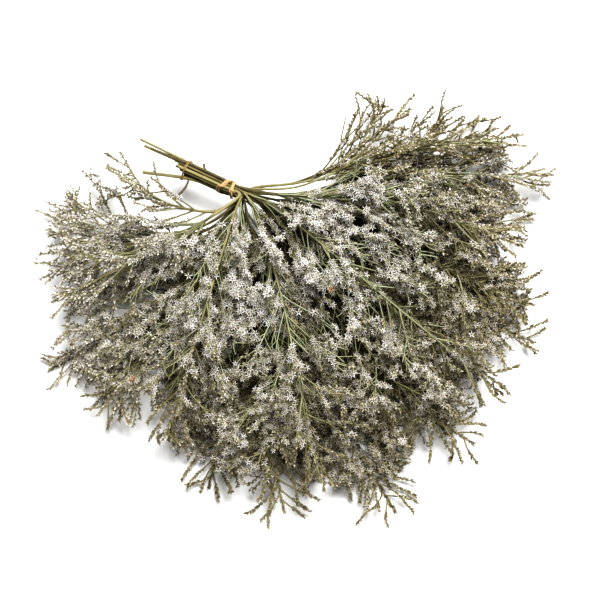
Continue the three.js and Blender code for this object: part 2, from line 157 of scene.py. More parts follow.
# Cut side shoots on the bare ends: the spray, the share of its cut end, its radius, and how the
# shoot runs on from there, counted along the bundle, across it and up
SNAGS = [
    (2, 0.76, 1.5, [(-3, 3, 1), (-4, 5, 2)]),
    (19, 0.57, 1.3, [(0, -9, -3), (-5, -22, -9)]),
]
SNAG_TAPER = 0.7
SNAG_SMOOTHING = 5

# Each spray draws its random numbers from its own seed, counted from this one
SPRAY_SEED = 100

# The raffia: turns of flat strands, each with its place along the bundle, how far it slants, its
# width and its lift off the stems, and the tones between which its fibres lie
STRAND_THICKNESS = 1.1
TIE_TURNS = [(-8, 5.5, 3.8, 0), (0, -1.5, 3.2, 0.4)]
WRAP_TURN = (-49, 0.6, 2.2, 0.3)
TIE_TONES = (0.25, 0.75)
WRAP_TONES = (0.08, 0.5)
TIE_SEED = 7
WRAP_SEED = 8
SLANT_WANDER = 0.3
TURN_SAMPLES = 72
TURN_SMOOTHING = 6
FRAME_STRAND_ROUND = 18
FRAME_STRAND_SIDES = 4

# A flat strand: its ridges, its crown and underside, and how its width flutters
STRAND_RIDGES = 9
RIDGE_RELIEF = 0.12
STRAND_CROWN = 0.25
STRAND_UNDERSIDE = 0.2
FLUTTER = 0.18
FLUTTER_WAVES = 3
FLUTTER_START = (0, 6)

# The knot, a rolled strand that loops through itself, and its tails, counted along the bundle,
# across it and up
ROLLED_SIDES = 8
ROLLED_RIBS = 0.08
KNOT_ANGLE = math.radians(140)
KNOT_RADIUS = 2.1
KNOT_LIFT = 0.4
KNOT_POINTS = 60
KNOT_STRAND = 0.85
KNOT_TAILS = [(3.5, -4.5, -2.0), (4.5, 1.5, 1.0)]
TAIL_BEND = 0.5
TAIL_SMOOTHING = 6
TAIL_TAPER = 0.3

# Finer twigs, level by level: how far apart they leave their parent, their length range, lean range
# in degrees, radii at foot and tip, the steps that they are drawn in, and how much they bend
TwigRule = namedtuple("TwigRule", "spacing length lean radii steps curl")
NEAR_TWIGS = TwigRule(3.8, (56, 92), (8, 20), (0.9, 0.55), 6, 0.04)
SIDE_TWIGS = TwigRule(5.6, (50, 78), (26, 52), (0.95, 0.62), 6, 0.07)
SECOND_TWIGS = TwigRule(4.4, (22, 38), (22, 42), (0.68, 0.6), 3, 0.16)
THIRD_TWIGS = TwigRule(15.0, (9, 16), (26, 44), (0.42, 0.3), 2, 0.16)
TWIG_SIDES = 3
TWIG_POINT = 3
TWIG_JITTER = (0.1, 0.9)
TWIG_WANDER = 0.05
LAST_TWIG = 0.97
SHORTEST_TWIG = 8.0

# How twigs differ where a spray is airy, how much painted light it gets, and how they shorten toward
# the rim
AIRY_LEAN = 0.5
AIRY_SPACING = 1.8
AIRY_LIGHT = 0.85
AIRY_BARE = 0.32
OUTER_LENGTH = 0.6
REST_SHARE = 0.5
RIM_REACH = 1.05

# Twigs that leave sideways, layer by layer: the spread of their turn and how far it sinks below
# level, in radians
SIDE_SPREAD = [0.35, 0.5, 0.4]
SIDE_SINK = [0.0, -0.35, -0.8]
SECOND_SINK = [0.0, -0.3, -0.5]

# The share of a parent that stays bare: for side twigs as a factor of the spray's own, for near ones
# where it is full and where it is airy, for second ones in each layer, and for third ones where it
# is old and where it is young
BARE_SHARE = 0.75
NEAR_BARE = (0.1, 0.55)
SECOND_BARE = [0.28, 0.32, 0.45]
THIRD_BARE = (0.8, 0.3)

# The room that twigs have: between sprays in each layer, round the cut ends, and in height
TWIG_ROOM = [-14.0, -8.0, -6.0]
BUNDLE_ROOM = 46.0
LOWEST_TWIG = 4.0
LOWEST_TWIG_POINT = 2.4
TWIG_RISE = 0.2
HIGHEST_TWIG = 122.0

# How far from its own branches a spray's twigs may end, where it is full and where it is airy
NEAR_ROOM = 18
SIDE_ROOM = (60, 24)
SECOND_ROOM = (70, 32)

# Points of a stem's line: in the foot that near twigs leave, where a spray is full and where it is
# airy, in its tip, and in that tip once it is drawn out evenly
FOOT_POINTS = (3, 7)
TIP_POINTS = 4
TIP_EVEN_POINTS = 6

# Hollows between the sprays, where the bunch opens down to its dark inside
HOLLOW_SEED = 5
HOLLOW_WAVES = 6
HOLLOW_WIDTH = (30, 62)
HOLLOW_LEVEL = 1.5
HOLLOW_FLOOR = 46.0
HOLLOW_RIM = (0.3, 0.86)

# The stems' and branches' thickness, and the stems' knuckles where leaves once stood
STEM_SIDES = 10
STEM_SMOOTHING = 8
STEM_THICKNESS = (0.85, 1.22)
STEM_RIBS = 0.05
STEM_TAPER_FROM = 0.3
STEM_TIP_RADIUS = 0.5
KNUCKLE_SPACING = (26, 46)
KNUCKLE_WIDTH = 1.7
KNUCKLE_SWELL = 0.24
BRANCH_SIDES = 5
BRANCH_RADII = (0.9, 0.42)

# Cut faces: how wide the pith is and how far it stands out, and their pattern from rim to centre
PITH_SHARE = 0.5
PITH_RISE = 0.13
PITH_REACH = [0.0, 0.6, 1.0]
MIDDLE_TINT = 0.5

# The stems' tints: of each layer, darker on the lower ones as painted shade, streaked, patched and
# with painted shade in the crevices between them
STEM_TINTS = [0.3, 0.5, 0.7]
STEM_TINT_RANGE = 0.2
STEM_STREAK = 0.32
STEM_PATCHES = 0.1
PATCH_RINGS = 6
CREVICE = 2.1
CREVICE_SHADE = 0.9
GREEN_FROM_TIE = 170.0
GRAIN_STRETCH = 14.0
GRAIN_SHIFT = 40.0

# Light reaches the top of the bunch and its rim. It is painted into the tints of branches, twigs
# and spikelets, as painted shade low inside and painted light above. Twigs fade to straw there, and
# florets open.
SHADE_HEIGHT = 38.0
FULL_LIGHT_HEIGHT = 82.0
RIM_LIGHT = 1.2
LIGHT_PER_BLOOM = 2
BRANCH_LIGHT = 0.8
BRANCH_GREEN = 0.55
TWIG_LIGHT = 0.85
TWIG_TINT_RANGE = 0.12
STRAW_SHARE = 0.9
STRAW_SHADE = 0.7
STRAW_SLOPE = (3, 2)

# A spray is as young as it is in flower. Old ones are browner, darker and thicker.
YOUTH_PER_BLOOM = 1.4
OLD_STEM_GREEN = 0.25
OLD_STEM_SHADE = 0.4
OLD_STEM_GIRTH = 1.25

# Spikelets sit along the twigs in two ranks. Each is a closed bud or an open floret.
SPIKELET_SPACING = 2.1
SPIKELET_JITTER = (0.2, 0.8)
SPIKELET_SIZES = (0.75, 1.15)
FEWEST_SPIKELETS = 2
OLD_SPIKELETS_FROM = 0.6
SPIKELETS_FROM = 0.24
OUTER_POINTS = 4
SPIKE_SPACING = 1.35
SPIKE_POINTS = 5
SPIKE_FROM = 0.4
SECOND_TWIGS_UP_TO = 0.86
RANK_ANGLE = math.radians(66)
RANK_SPREAD = 0.35

# Their shapes, and how far they lean forward along the twig and up
LOBES = 5
FLORET_RADIUS = 3.7
FLORET_MOUTH = 0.85
FLORET_TUBE = 2.5
FLORET_CUP = 0.6
FLORET_FORWARD = 0.9
FLORET_UPWARD = 0.5
BUD_SIDES = 3
BUD_LENGTH = 4.8
BUD_WIDTH = 1.15
BUD_BELLY = 0.45
BUD_FORWARD = (1.4, 2.4)

# The share that is open: it rises from the tie and with the light, and falls toward the rim
OPEN_SHARE = 0.68
OPEN_UP_TO = 0.98
OPEN_FALL = 8
OPEN_SLOPE = (3.6, 0.25)
OPEN_LIGHT_SLOPE = (2, 0.1)
RIM_CLOSING = 0.4

# Their tints, from pale to dark, with painted shade out of the light, and a few rusty ones near the
# top of some sprays
FLORET_TINTS = (0, 0.35)
SHADED_FLORET = 0.6
BUD_TINTS = (0.4, 0.75)
SHADED_BUDS = (0.75, 0.95)
AIRY_BUD_LIGHT = 0.45
RIM_FADING = 0.2
AIRY_FADING = 0.1
RUST_SPRAYS = 4
RUST_REACH = 6.0
RUST_OUTWARD = 40
RUSTY_SHARE = 0.6

# Colours from dark to light, each at its level of the pattern
WOODY_TONES = [
    (0.08, (0.012, 0.009, 0.003)),
    (0.28, (0.06, 0.045, 0.018)),
    (0.5, (0.17, 0.14, 0.05)),
    (0.8, (0.31, 0.27, 0.125)),
]
GREEN_TONES = [
    (0.08, (0.01, 0.009, 0.004)),
    (0.28, (0.055, 0.05, 0.02)),
    (0.5, (0.15, 0.15, 0.065)),
    (0.8, (0.36, 0.39, 0.25)),
]
CUT_TONES = [(0.15, (0.05, 0.035, 0.02)), (0.6, (0.26, 0.20, 0.11)), (1.0, (0.45, 0.38, 0.25))]
RAFFIA_TONES = [
    (0.15, (0.09, 0.05, 0.015)),
    (0.45, (0.30, 0.19, 0.07)),
    (0.75, (0.56, 0.39, 0.19)),
    (1.0, (0.82, 0.60, 0.37)),
]

# A floret's colours by its tint, from a fresh one to a bud, a dead one, near black as painted shade
# deep in the bunch, and a rusty one, and how far up from its foot they begin
LOBE_TONES = [
    (0.0, (0.94, 0.94, 0.97)),
    (0.3, (0.77, 0.72, 0.68)),
    (0.5, (0.42, 0.36, 0.23)),
    (0.75, (0.09, 0.08, 0.028)),
    (0.95, (0.02, 0.014, 0.006)),
    (1.0, (0.48, 0.24, 0.12)),
]
# The feet are green brown, darkened further as painted shade in the funnel's throat.
FOOT_TONES = [(0.0, (0.12, 0.11, 0.04)), (0.6, (0.08, 0.065, 0.025)), (0.95, (0.02, 0.015, 0.006))]
LOBE_START = [(0.38, (0, 0, 0)), (0.8, (1, 1, 1))]

# The floor and the lamps, in metres. Each lamp has a place, a size and a power.
FLOOR_HALF = 6.0
FLOOR_SHADE = 0.9
WORLD_LIGHT = 0.1
LAMPS = {"key": ((0.3, 0.45, 2.1), 1.3, 75), "fill": ((-1.2, -0.9, 1.6), 1.6, 6)}

# The camera, in millimetres, and in metres how far it sees
CAMERA_ELEVATION = math.radians(73)
CAMERA_DISTANCE = 2500.0
VIEW_WIDTH = 570.0
VIEW_CENTRE = np.array([64.6, -111.3, 0.0])
SENSOR_WIDTH = 36
FARTHEST_SEEN = 20


def unit(vectors):
    """Vectors scaled to length 1, one or many."""
    return vectors / np.maximum(np.linalg.norm(vectors, axis=-1, keepdims=True), LEAST_DIVISOR)


def mix(a, b, t):
    return a + (b - a) * t


def smooth(t):
    return t * t * (3 - 2 * t)


def sloped(value, slope, start):
    """A value times a slope, less a start, held between 0 and 1."""
    return np.clip(value * slope - start, 0, 1)


def even_turns(count):
    """Angles evenly round a circle."""
    return np.arange(count) * math.tau / count


def draws_from(seed):
    """A repeatable stream of numbers from 0 to 1, the same as the frame's."""
    mask = 0xFFFFFFFF
    state = seed
    while True:
        state = (state + 0x6D2B79F5) & mask
        t = ((state ^ (state >> 15)) * (state | 1)) & mask
        t ^= (t + (((t ^ (t >> 7)) * (t | 61)) & mask)) & mask
        yield (t ^ (t >> 14)) / 2**32


def curve_point(points, span, t):
    """The point at t within one span of the smooth curve through points."""
    last = len(points) - 1
    before = points[span - 1] if span else 2 * points[0] - points[1]
    after = points[span + 2] if span + 2 <= last else 2 * points[last] - points[last - 1]
    start, end = points[span], points[span + 1]
    leave, arrive = (end - before) / 2, (after - start) / 2
    square = 3 * (end - start) - 2 * leave - arrive
    cube = 2 * (start - end) + leave + arrive
    return start + leave * t + square * t**2 + cube * t**3


def smoothed(points, per_span):
    """A line with points added along the smooth curve through it."""
    steps = [
        curve_point(points, span, k / per_span)
        for span in range(len(points) - 1)
        for k in range(per_span)
    ]
    return np.array([*steps, points[-1]])


def stem_line(index):
    """A stem's line from its cut end through the tie to its tip."""
    spray = SPRAYS[index]
    layer, place = index % LAYERS, index // LAYERS
    row = 2 * layer + place % 2
    side = ((len(SPRAYS) / LAYERS - 1) / 2 - place) * STEM_PITCH / 2
    rise = (row - (2 * LAYERS - 1) / 2) * ROW_RISE

    def at(distance, splayed, lift):
        return TIE + ALONG * distance + ACROSS * (side + splayed) + UP * (rise + lift)

    points = [
        at(-spray.stub, spray.splay, CUT_END_RISE),
        at(-spray.stub / 2, spray.splay * HALFWAY_SPLAY, CUT_END_RISE * HALFWAY_RISE),
        at(-HALF_BOUND, 0, 0),
        at(HALF_BOUND, 0, 0),
    ]
    for i, (x, y) in enumerate(spray.route):
        share = (i + 1) / len(spray.route)
        settled = mix(TIE[2] + rise, LAYER_HEIGHT[layer], smooth(min(1, share * 2)))
        height = mix(settled, LAYER_TIP_HEIGHT[layer], smooth(max(0, share * 2 - 1)))
        points.append(np.array([x, y, height]))
    line = points[: FAN_START + 1]
    for span in range(FAN_START, len(points) - 1):
        line += [curve_point(points, span, 0.5), points[span + 1]]
    line = np.array(line)
    line[:, 2] = np.maximum(line[:, 2], LOWEST_STEM)
    return line


def nearest_approach(a, b, c, d):
    """Where segment ab comes nearest to cd: the share along each, and the vector between them."""
    u, v, w = b - a, d - c, a - c
    uu, uv, vv, uw, vw = u @ u, u @ v, v @ v, u @ w, v @ w
    first = min(max((uv * vw - vv * uw) / max(uu * vv - uv * uv, LEAST_DIVISOR), 0), 1)
    t = min(max((uv * first + vw) / vv, 0), 1)
    s = min(max((uv * t - uw) / uu, 0), 1)
    return s, t, w + u * s - v * t


def edge_lengths(line):
    """The lengths of a line's segments."""
    return np.linalg.norm(line[1:] - line[:-1], axis=1)


def part_pair(one, other, nearest):
    """Bends two stems apart wherever they would touch, and says whether they had to move."""
    centres = (one[:-1] + one[1:]) / 2, (other[:-1] + other[1:]) / 2
    halves = edge_lengths(one) / 2, edge_lengths(other) / 2
    spans = np.linalg.norm(centres[0][:, None] - centres[1], axis=2)
    close = spans < halves[0][:, None] + halves[1] + nearest + PARTING_REACH
    moved = False
    for i, j in np.argwhere(close):
        s, t, away = nearest_approach(one[i], one[i + 1], other[j], other[j + 1])
        length = math.sqrt(away @ away)
        short = nearest - length
        if short <= 0:
            continue
        moved = True
        push = away * (short * PARTING_SHARE / length)
        one[i] += push * (1 - s)
        one[i + 1] += push * s
        other[j] -= push * (1 - t)
        other[j + 1] -= push * t
    return moved


def parted_stems():
    """All stems' lines, bent clear of each other."""
    lines = [stem_line(index) for index in range(len(SPRAYS))]
    for _ in range(PARTING_ROUNDS):
        moves = [
            part_pair(line, other, 2 * STEM_RADIUS + STEM_GAP)
            for a, line in enumerate(lines)
            for other in lines[a + 1 :]
        ]
        if not any(moves):
            break
    return lines


def offsets_from(points, line):
    """The vectors from each segment of a line to each point."""
    starts, edges = line[:-1], line[1:] - line[:-1]
    away = points[:, None] - starts
    share = np.einsum("nmk,mk->nm", away, edges) / np.einsum("mk,mk->m", edges, edges)
    return away - np.clip(share, 0, 1)[..., None] * edges


def distance_to(points, line):
    return np.linalg.norm(offsets_from(points, line), axis=2).min(1)


def fan_of(own):
    """A stem's line from the tie to its tip."""
    return stems[own][FAN_START:]


def room_at(points, own):
    """How much nearer points are to their own stem than to others, and the way from those."""
    own_distance = distance_to(points, stems[own])
    others = [offsets_from(points, line) for i, line in enumerate(stems) if i != own]
    offsets = np.concatenate(others, axis=1)
    lengths = np.linalg.norm(offsets, axis=2)
    nearest = lengths.argmin(1)
    rows = np.arange(len(points))
    return lengths[rows, nearest] - own_distance, unit(offsets[rows, nearest])


def point_along(line, share):
    """The point and direction a share of the way along a line."""
    lengths = edge_lengths(line)
    left = share * lengths.sum()
    i = 0
    while i < len(lengths) - 1 and left > lengths[i]:
        left -= lengths[i]
        i += 1
    tangent = unit(line[i + 1] - line[i])
    return line[i] + tangent * left, tangent


def evenly(line, count, start=0.0):
    """Points at even distances along a line, from a share of its length to its end."""
    return np.array([point_along(line, mix(start, 1, k / (count - 1)))[0] for k in range(count)])


def shoot_heading(tangent, turn, lean):
    """A side shoot's first direction: leaning from its parent, and turned round it."""
    level = unit(np.cross(tangent, UP))
    rise = np.cross(level, tangent)
    sideways = level * math.cos(turn) + rise * math.sin(turn)
    return tangent * math.cos(lean) + sideways * math.sin(lean)


def grow(start, heading, length, curve, own):
    """Grows a main branch step by step, bent clear of the other sprays and of the surface."""
    points = [start]
    direction = heading
    steps = round(length / GROWTH_STEP)
    for _ in range(steps):
        direction = unit(direction + curve)
        grown = None
        for _ in range(GROWTH_TRIES):
            ahead = points[-1] + direction * length / steps
            room, away = room_at(ahead[None], own)
            is_low = ahead[2] < LOWEST_BRANCH
            if room[0] > BRANCH_ROOM and not is_low:
                grown = ahead
            if is_low:
                direction = np.array([*direction[:2], abs(direction[2]) * KEPT_RISE + LEAST_RISE])
            elif grown is None:
                direction = direction + away[0] * TURN_AWAY
            direction = unit(direction)
            if grown is not None:
                break
        if grown is None:
            break
        points.append(grown)
    return np.array(points)


def branches_of(own):
    """A spray's main branches: each on the side of the stem where it finds the most room."""
    fan = fan_of(own)
    draw = draws_from(own + 1)
    branches = []
    for m in range(BRANCHES):
        place = (m + BRANCH_JITTER * next(draw)) / (BRANCHES - BRANCH_JITTER)
        share = mix(SPRAYS[own].bare, LAST_BRANCH, place)
        point, tangent = point_along(fan, share)
        lean = math.radians(mix(*BRANCH_LEAN, next(draw))) * mix(1, TIP_LEAN_SHARE, share)
        drawn_length = BRANCH_LENGTH * mix(*BRANCH_LENGTH_RANGE, next(draw))
        length = drawn_length * mix(1, TIP_BRANCH_SHARE, share)
        first = GOLDEN_ANGLE * m + own
        best_score, best_line = 0, None
        for turn in range(TURNS_TRIED):
            heading = shoot_heading(tangent, first + turn * math.tau / TURNS_TRIED, lean)
            line = grow(point, heading, length, tangent * BRANCH_CURVE, own)
            outer = line[math.ceil(len(line) * BRANCH_ROOT_SHARE) :]
            apart = min(distance_to(outer, other).min() for other in [fan, *branches])
            score = min(apart, BRANCH_SPREAD) * len(line)
            if len(line) > SHORTEST_BRANCH and score > best_score:
                best_score, best_line = score, line
        if best_line is not None:
            branches.append(best_line)
    return branches


def placed(name, data):
    """An object of a mesh, a lamp or a lens, put in the scene."""
    made = bpy.data.objects.new(name, data)
    bpy.context.scene.collection.objects.link(made)
    return made


class Piece:
    """Gathers the corners and faces of one mesh, with values at each corner for its material."""

    def __init__(self):
        self.corners, self.faces, self.slots = [], [], []
        self.values = {}
        self.count = 0

    def add(self, corners, faces, slot=0, **values):
        """Adds corners (n, 3) and faces (m, 3 or 4), with named values for each corner."""
        corners = np.asarray(corners).reshape(-1, 3)
        self.corners.append(corners)
        self.faces += (np.asarray(faces) + self.count).tolist()
        self.slots.append(np.full(len(faces), slot))
        for label, value in values.items():
            value = np.asarray(value, dtype=np.float32)
            spread = np.broadcast_to(value, (len(corners), *value.shape[1:]))
            self.values.setdefault(label, []).append(spread)
        self.count += len(corners)

    def built(self, name, materials, slot_name, nodes, is_smooth=True):
        """Makes the object, in metres and in the frame's place, with nothing below the floor."""
        mesh = bpy.data.meshes.new(name)
        corners = (np.concatenate(self.corners) + shift) * MM
        corners[:, 2] = np.maximum(corners[:, 2], 0)
        mesh.from_pydata(corners.tolist(), [], self.faces)
        for material in materials:
            mesh.materials.append(material)
        mesh.polygons.foreach_set("material_index", np.concatenate(self.slots))
        for label, groups in self.values.items():
            values = np.concatenate(groups)
            is_vector = values.ndim > 1
            layer = mesh.attributes.new(label, "FLOAT_VECTOR" if is_vector else "FLOAT", "POINT")
            layer.data.foreach_set("vector" if is_vector else "value", values.ravel())
        mesh.polygons.foreach_set("use_smooth", np.full(len(self.faces), is_smooth))
        mesh.update()
        piece = placed(name, mesh)
        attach(piece, "root")
        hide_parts(*nodes)


def frames_along(line):
    """Tangents of a line, with two directions square to each that don't twist."""
    ahead = np.concatenate([line[1:], line[-1:]])
    behind = np.concatenate([line[:1], line[:-1]])
    tangents = unit(ahead - behind)
    levels = [unit(np.cross(tangents[0], UP) + NUDGE)]
    for tangent in tangents[1:]:
        level = levels[-1] - tangent * (levels[-1] @ tangent)
        levels.append(unit(level))
    levels = np.array(levels)
    return tangents, levels, np.cross(levels, tangents)


def rays(levels, rises, sides):
    """Directions evenly round points of a line, in the plane of two directions at each."""
    turns = even_turns(sides)[:, None]
    return np.cos(turns) * levels[..., None, :] + np.sin(turns) * rises[..., None, :]


def ring_faces(rings, sides):
    """The four-sided faces between neighbouring rings of corners."""
    ring, side = np.meshgrid(np.arange(rings - 1), np.arange(sides), indexing="ij")
    ring, side = ring.ravel(), side.ravel()
    beside = (side + 1) % sides
    low, high = ring * sides, (ring + 1) * sides
    return np.stack([low + side, low + beside, high + beside, high + side], axis=1)


def halved(quads):
    """Four-sided faces as two triangles each."""
    return np.concatenate([quads[:, :3], quads[:, [0, 2, 3]]]).tolist()


def per_corner(value, rings, sides):
    """A value for each corner of a tube, from one for all, for each ring or for each corner."""
    value = np.asarray(value, dtype=float)
    if value.ndim == 1:
        value = value[:, None]
    return np.broadcast_to(value, (rings, sides)).ravel()


def distances_along(line):
    """How far along a line each of its points is."""
    return np.concatenate([[0], np.cumsum(edge_lengths(line))])


def tube_corners(line, radii, sides, ribs=0.0):
    """The corners of a tube along a line, ring by ring, with every other one raised as a rib."""
    _, levels, rises = frames_along(line)
    shape = 1 + ribs * (-1.0) ** np.arange(sides)
    offsets = (np.broadcast_to(radii, len(line))[:, None] * shape)[..., None]
    return line[:, None] + rays(levels, rises, sides) * offsets


def fibres_of(line, radii, sides):
    """Places in a grain that runs lengthwise: round a tube, and much less along it."""
    turns = even_turns(sides)
    radii = np.broadcast_to(radii, len(line))[:, None]
    lengthwise = distances_along(line)[:, None] / GRAIN_STRETCH * np.ones(sides)
    places = [np.cos(turns) * radii, np.sin(turns) * radii, lengthwise]
    return np.stack(places, axis=-1).reshape(-1, 3)


def add_tube(piece, line, radii, sides, ribs=0.0, **values):
    """An open tube along a line, with values for all of it, for each ring or for each corner."""
    corners = tube_corners(line, radii, sides, ribs)
    values = {label: per_corner(value, len(line), sides) for label, value in values.items()}
    fibre = fibres_of(line, radii, sides)
    piece.add(corners, ring_faces(len(line), sides), fibre=fibre, **values)


def add_twigs(piece, lines, radii, tints, reach):
    """Three-sided twigs with a short point, along many lines of equally many points."""
    lines = np.stack(lines)
    count, rings = lines.shape[:2]
    tangents = unit(np.diff(lines, axis=1, append=2 * lines[:, -1:] - lines[:, -2:-1]))
    level = unit(np.cross(tangents, UP) + np.array([NUDGE, 0, 0]))
    around = rays(level, np.cross(level, tangents), TWIG_SIDES)
    thickness = np.linspace(*radii, rings)[:, None, None]
    sides = (lines[:, :, None] + around * thickness).reshape(count, -1, 3)
    points = lines[:, -1:] + tangents[:, -1:] * radii[1] * TWIG_POINT
    corners = np.concatenate([sides, points], axis=1)
    per_twig = corners.shape[1]
    point = per_twig - 1
    last = point - TWIG_SIDES
    one = halved(ring_faces(rings, TWIG_SIDES))
    one += [(last + k, last + (k + 1) % TWIG_SIDES, point) for k in range(TWIG_SIDES)]
    offsets = np.arange(count)[:, None, None] * per_twig
    faces = (np.array(one) + offsets).reshape(-1, 3)
    lengthwise = np.linalg.norm(corners - lines[:, :1], axis=2).ravel() / GRAIN_STRETCH
    tints = np.repeat(tints, per_twig)
    round_twig = np.tile(np.resize(np.arange(float(TWIG_SIDES)), per_twig), count)
    fibre = np.stack([round_twig, tints * GRAIN_SHIFT, lengthwise], axis=1)
    piece.add(corners, faces, tint=tints, reach=np.repeat(reach, per_twig), fibre=fibre)


def add_cut_face(piece, line, radius, sides, outward):
    """A cut face with a raised pith that closes a tube's end."""
    _, levels, rises = frames_along(line)
    around = rays(levels[0], rises[0], sides)
    rim = line[0] + around * radius
    pith = line[0] + around * radius * PITH_SHARE + outward * PITH_RISE
    corners = np.concatenate([rim, pith, [line[0] - outward * PITH_RISE]])
    centre = 2 * sides
    faces = halved(ring_faces(2, sides))
    faces += [(sides + k, sides + (k + 1) % sides, centre) for k in range(sides)]
    reach = np.repeat(PITH_REACH, [sides, sides, 1])
    fibre = corners - line[0]
    piece.add(corners, faces, slot=1, tint=MIDDLE_TINT, reach=reach, fibre=fibre)


def twig_starts(parents, rule, bare, chance, own, sink):
    """Where side twigs leave their parents, their first directions and their lengths."""
    airy, fan = SPRAYS[own].airy, fan_of(own)
    tip_reach = np.linalg.norm(fan[-1] - fan[0]) * RIM_REACH
    starts, directions, lengths = [], [], []
    for line in parents:
        spacing = rule.spacing * mix(1, AIRY_SPACING, airy)
        count = round(edge_lengths(line).sum() * (1 - bare) / spacing)
        turn = chance.uniform(0, math.tau)
        for k in range(count):
            share = mix(bare, LAST_TWIG, (k + chance.uniform(*TWIG_JITTER)) / count)
            point, tangent = point_along(line, share)
            turn += GOLDEN_ANGLE
            if sink is not None:
                side = k % 2
                drawn = chance.normal(sink * (1 - 2 * side), SIDE_SPREAD[own % LAYERS])
                turn = math.pi * side + drawn
            lean = math.radians(chance.uniform(*rule.lean)) * mix(1, AIRY_LEAN, airy)
            length = chance.uniform(*rule.length) * mix(1, OUTER_LENGTH, share**3)
            to_rim = tip_reach - np.linalg.norm(point - fan[0])
            to_rim = max(to_rim * mix(1, REST_SHARE, airy), SHORTEST_TWIG)
            starts.append(point)
            directions.append(shoot_heading(tangent, turn, lean))
            lengths.append(min(length, to_rim))
    return np.reshape(starts, (-1, 3)), np.reshape(directions, (-1, 3)), np.array(lengths)


def turned_clear(directions, points, own):
    """Directions at points, turned clear of other sprays, the cut ends, the surface and the top."""
    room, away = room_at(points, own)
    directions = directions + away * (room < TWIG_ROOM[own % LAYERS])[:, None] * TURN_AWAY
    from_bundle = offsets_from(points, CUT_ENDS)[:, 0]
    is_near = np.linalg.norm(from_bundle, axis=1) < BUNDLE_ROOM
    directions = directions + unit(from_bundle) * is_near[:, None]
    low = points[:, 2] < LOWEST_TWIG
    directions[:, 2] = np.where(low, np.abs(directions[:, 2]) + TWIG_RISE, directions[:, 2])
    high = points[:, 2] > HIGHEST_TWIG
    directions[:, 2] = np.where(high, np.minimum(directions[:, 2], 0), directions[:, 2])
    return unit(directions)


def twigs_from(parents, rule, bare, chance, own, sink=None):
    """Side twigs of parent lines, clear of the surface, of other sprays and of the cut ends.

    They leave all round their parent, or where a sink is given mostly to its left and right.
    """
    starts, directions, lengths = twig_starts(parents, rule, bare, chance, own, sink)
    step = lengths[:, None] / rule.steps
    curl = chance.normal(0, rule.curl, directions.shape)
    points = [starts]
    for _ in range(rule.steps):
        directions = unit(directions + curl + chance.normal(0, TWIG_WANDER, directions.shape))
        directions = turned_clear(directions, points[-1] + directions * step, own)
        ahead = points[-1] + directions * step
        ahead[:, 2] = np.maximum(ahead[:, 2], LOWEST_TWIG_POINT)
        points.append(ahead)
    twigs = np.stack(points, axis=1)
    return list(twigs[distance_to(twigs[:, -1], CUT_ENDS) > BUNDLE_ROOM])


def level_ring(count, radius, height, first=0.0):
    """Corners of a level ring round the Z axis."""
    turns = first + even_turns(count)
    corners = [np.cos(turns) * radius, np.sin(turns) * radius, np.full(count, height)]
    return np.stack(corners, axis=1)


def floret_shape():
    """An open floret: a funnel with five narrow lobes, along +Z, with its foot at the origin."""
    tips = level_ring(LOBES, FLORET_RADIUS, FLORET_TUBE + FLORET_CUP)
    mouth = level_ring(LOBES, FLORET_MOUTH, FLORET_TUBE, math.pi / LOBES)
    foot = 2 * LOBES
    lobes = [(k, LOBES + k, LOBES + (k - 1) % LOBES) for k in range(LOBES)]
    funnel = [(LOBES + k, foot, LOBES + (k - 1) % LOBES) for k in range(LOBES)]
    reach = np.repeat([1.0, 0.5, 0.0], [LOBES, LOBES, 1])
    return np.concatenate([tips, mouth, [[0, 0, 0]]]), np.array(lobes + funnel), reach


def bud_shape():
    """A closed bud: a slender spindle along +Z, with its foot at the origin."""
    belly = level_ring(BUD_SIDES, BUD_WIDTH, BUD_LENGTH * BUD_BELLY)
    foot, tip = BUD_SIDES, BUD_SIDES + 1
    lower = [(foot, (k + 1) % BUD_SIDES, k) for k in range(BUD_SIDES)]
    upper = [(k, (k + 1) % BUD_SIDES, tip) for k in range(BUD_SIDES)]
    reach = np.repeat([0.5, 0.0, 1.0], [BUD_SIDES, 1, 1])
    return np.concatenate([belly, [[0, 0, 0], [0, 0, BUD_LENGTH]]]), np.array(lower + upper), reach


def add_copies(piece, shape, places, axes, sizes, tints, chance):
    """Copies of a small shape, each turned to an axis, spun about it and scaled."""
    corners, faces, reach = shape
    sideways = unit(np.cross(axes, chance.normal(size=axes.shape)))
    other = np.cross(axes, sideways)
    bases = np.stack([sideways, other, axes], axis=1) * sizes[:, None, None]
    copies = places[:, None] + corners @ bases
    offsets = np.arange(len(places))[:, None, None] * len(corners)
    all_faces = (faces + offsets).reshape(-1, 3)
    values = {"tint": np.repeat(tints, len(corners)), "reach": np.tile(reach, len(places))}
    piece.add(copies, all_faces, **values)


def spikelet_places(lines, spacing, chance):
    """Where spikelets sit on many twigs: their places, the way out and the way along."""
    found = []
    for line in lines:
        count = max(FEWEST_SPIKELETS, int(edge_lengths(line).sum() / spacing))
        order = np.arange(count)
        tangents, levels, rises = frames_along(line)
        at = (order + chance.uniform(*SPIKELET_JITTER, count)) / count * (len(line) - 1)
        step = np.minimum(at.astype(int), len(line) - 2)
        side = np.where(order % 2, 1, -1) * RANK_ANGLE + chance.normal(0, RANK_SPREAD, count)
        place = mix(line[step], line[step + 1], (at - step)[:, None])
        outward = levels[step] * np.sin(side)[:, None] + rises[step] * np.cos(side)[:, None]
        found.append(np.stack([place, outward, tangents[step]]))
    return np.concatenate(found, axis=1)


def hollow_pattern():
    """Waves over the plan that open the hollows where they add up: their directions and phases."""
    chance = np.random.default_rng(HOLLOW_SEED)
    headings = chance.uniform(0, math.tau, HOLLOW_WAVES)
    waves = np.stack([np.cos(headings), np.sin(headings)])
    waves = waves * math.tau / chance.uniform(*HOLLOW_WIDTH, HOLLOW_WAVES)
    return waves, chance.uniform(0, math.tau, HOLLOW_WAVES)


